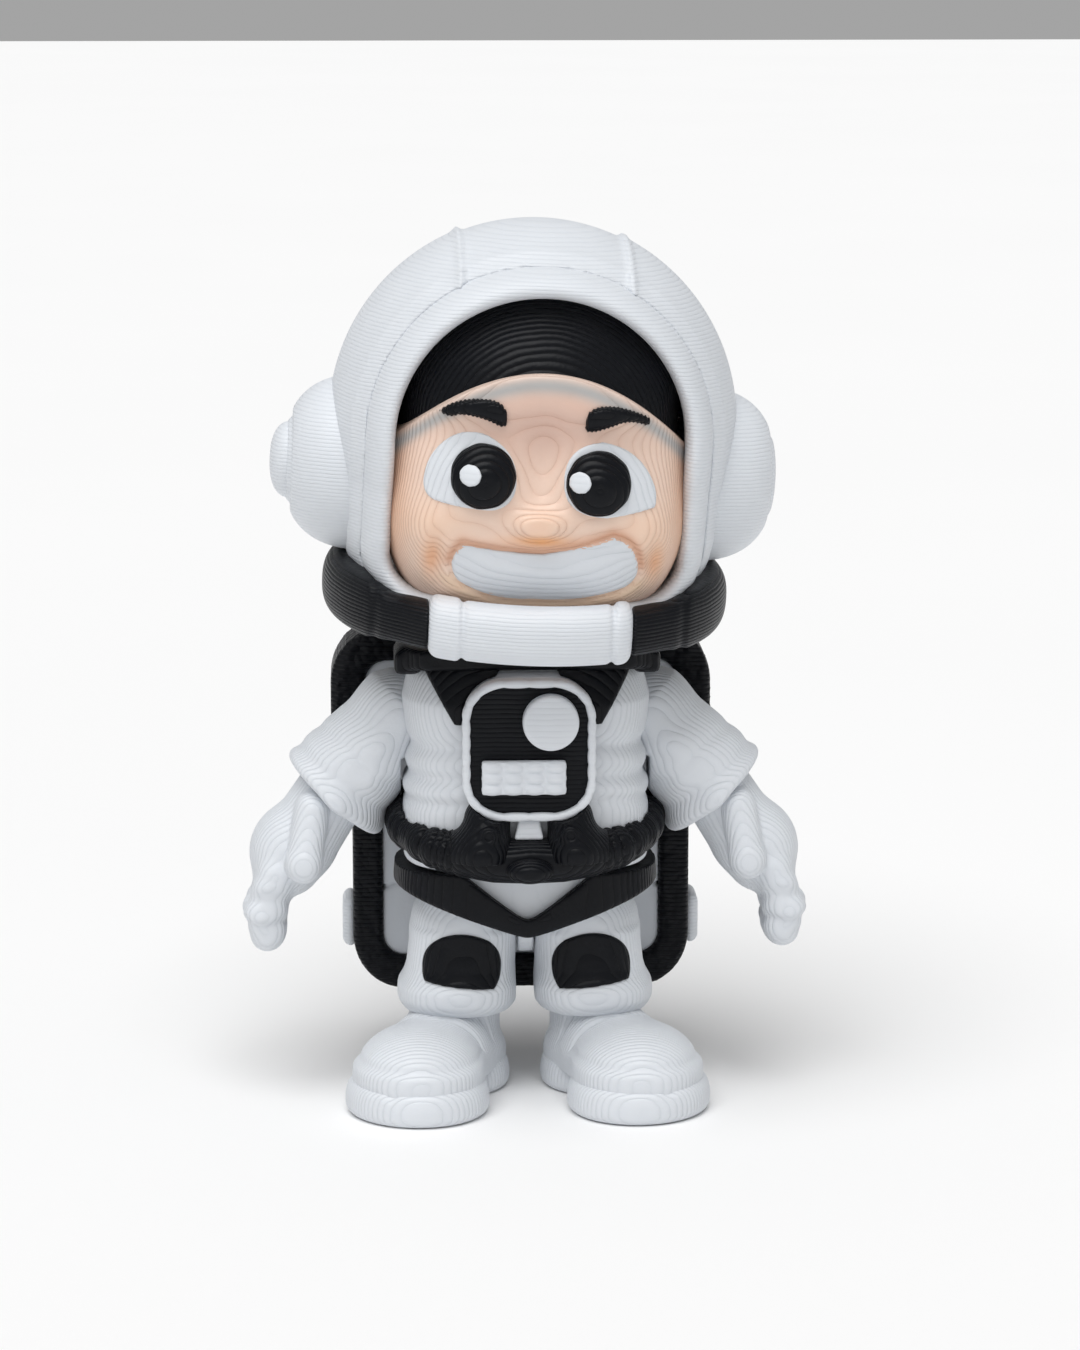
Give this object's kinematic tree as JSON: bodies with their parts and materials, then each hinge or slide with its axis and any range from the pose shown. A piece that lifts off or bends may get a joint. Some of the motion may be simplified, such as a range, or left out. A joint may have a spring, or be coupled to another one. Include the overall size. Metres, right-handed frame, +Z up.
{
  "type": "action figure",
  "caption": "Small jointed toy astronaut with a big round helmet and open visor, smiling face, chest panel, waist hose, backpack and chunky boots, printed in white and black plastic.",
  "frame": {"origin": "centre of the bounding box in plan, on the surface the boots stand on", "axes": "+Z up, the figure faces -Y, its left side is +X"},
  "size_m": [0.0438, 0.0312, 0.0675],
  "materials": {
    "suit_white": "satin printed plastic with fine layer lines",
    "face_white": "satin printed plastic, contour lines",
    "trim_black": "semi-gloss printed plastic with fine layer lines",
    "skin_peach": "satin printed plastic, contour lines"
  },
  "bodies": {
    "torso": {"torso_shell": "suit_white", "shoulder_yoke": "trim_black", "left_harness_strap": "trim_black", "right_harness_strap": "trim_black", "panel_plate": "trim_black", "panel_rim": "suit_white", "panel_dial": "suit_white", "panel_button_block": "suit_white", "buckle_tab": "suit_white", "waist_hose": "trim_black", "left_hose_fitting": "trim_black", "right_hose_fitting": "trim_black", "hose_coupling": "trim_black", "pelvis_block": "suit_white", "pelvis_band": "trim_black", "hip_axle": "trim_black", "backpack_frame": "trim_black", "backpack_shell": "suit_white", "left_side_pod": "suit_white", "right_side_pod": "suit_white", "upper_backpack_peg": "trim_black", "lower_backpack_peg": "trim_black"},
    "neck": {"neck_post": "trim_black"},
    "head": {"helmet_shell": "suit_white", "visor_rim": "suit_white", "left_ear_cup": "suit_white", "right_ear_cup": "suit_white", "right_ear_knob": "suit_white", "head_core": "skin_peach", "hair_cap": "trim_black", "left_eye_white": "face_white", "right_eye_white": "face_white", "left_pupil": "trim_black", "right_pupil": "trim_black", "left_glint": "face_white", "right_glint": "face_white", "left_brow": "trim_black", "right_brow": "trim_black", "teeth": "face_white", "neck_ring": "trim_black", "ring_clamp": "suit_white"},
    "left_shoulder": {"left_shoulder_stud": "trim_black"},
    "left_arm": {"left_sleeve": "suit_white"},
    "left_hand": {"left_glove": "suit_white"},
    "left_leg": {"left_trouser_leg": "suit_white", "left_knee_pad": "trim_black"},
    "left_foot": {"left_boot": "suit_white", "left_sole": "suit_white"},
    "right_shoulder": {"right_shoulder_stud": "trim_black"},
    "right_arm": {"right_sleeve": "suit_white"},
    "right_hand": {"right_glove": "suit_white"},
    "right_leg": {"right_trouser_leg": "suit_white", "right_knee_pad": "trim_black"},
    "right_foot": {"right_boot": "suit_white", "right_sole": "suit_white"}
  },
  "joints": [
    {"name": "neck_turn", "type": "hinge", "parent": "torso", "child": "neck", "pos_m": [0, 0.00013, 0.0382], "axis": [0, 0, 1], "range_deg": [-60, 60]},
    {"name": "head_nod", "type": "hinge", "parent": "neck", "child": "head", "pos_m": [0, 0.00013, 0.0382], "axis": [1, 0, 0], "range_deg": [-4, 8]},
    {"name": "left_shoulder_swing", "type": "hinge", "parent": "torso", "child": "left_shoulder", "pos_m": [0.0099, 0.00042, 0.0299], "axis": [-1, 0, 0], "range_deg": [-8, 90]},
    {"name": "left_arm_raise", "type": "hinge", "parent": "left_shoulder", "child": "left_arm", "pos_m": [0.0099, 0.00042, 0.0299], "axis": [0, -1, 0], "range_deg": [0, 55]},
    {"name": "left_wrist_turn", "type": "hinge", "parent": "left_arm", "child": "left_hand", "pos_m": [0.01531, 0.00042, 0.02246], "axis": [0.5878, 0, -0.809], "range_deg": [-90, 90]},
    {"name": "left_hip_swing", "type": "hinge", "parent": "torso", "child": "left_leg", "pos_m": [0.0047, -0.00007, 0.013], "axis": [-1, 0, 0], "range_deg": [-6, 30]},
    {"name": "left_ankle_turn", "type": "hinge", "parent": "left_leg", "child": "left_foot", "pos_m": [0.0054, 0.00013, 0.0023], "axis": [0, 0, 1], "range_deg": [-15, 15]},
    {"name": "right_shoulder_swing", "type": "hinge", "parent": "torso", "child": "right_shoulder", "pos_m": [-0.0099, 0.00042, 0.0299], "axis": [-1, 0, 0], "range_deg": [-8, 90]},
    {"name": "right_arm_raise", "type": "hinge", "parent": "right_shoulder", "child": "right_arm", "pos_m": [-0.0099, 0.00042, 0.0299], "axis": [0, 1, 0], "range_deg": [0, 55]},
    {"name": "right_wrist_turn", "type": "hinge", "parent": "right_arm", "child": "right_hand", "pos_m": [-0.01531, 0.00042, 0.02246], "axis": [-0.5878, 0, -0.809], "range_deg": [-90, 90]},
    {"name": "right_hip_swing", "type": "hinge", "parent": "torso", "child": "right_leg", "pos_m": [-0.0047, -0.00007, 0.013], "axis": [-1, 0, 0], "range_deg": [-6, 30]},
    {"name": "right_ankle_turn", "type": "hinge", "parent": "right_leg", "child": "right_foot", "pos_m": [-0.0054, 0.00013, 0.0023], "axis": [0, 0, 1], "range_deg": [-15, 15]}
  ]
}
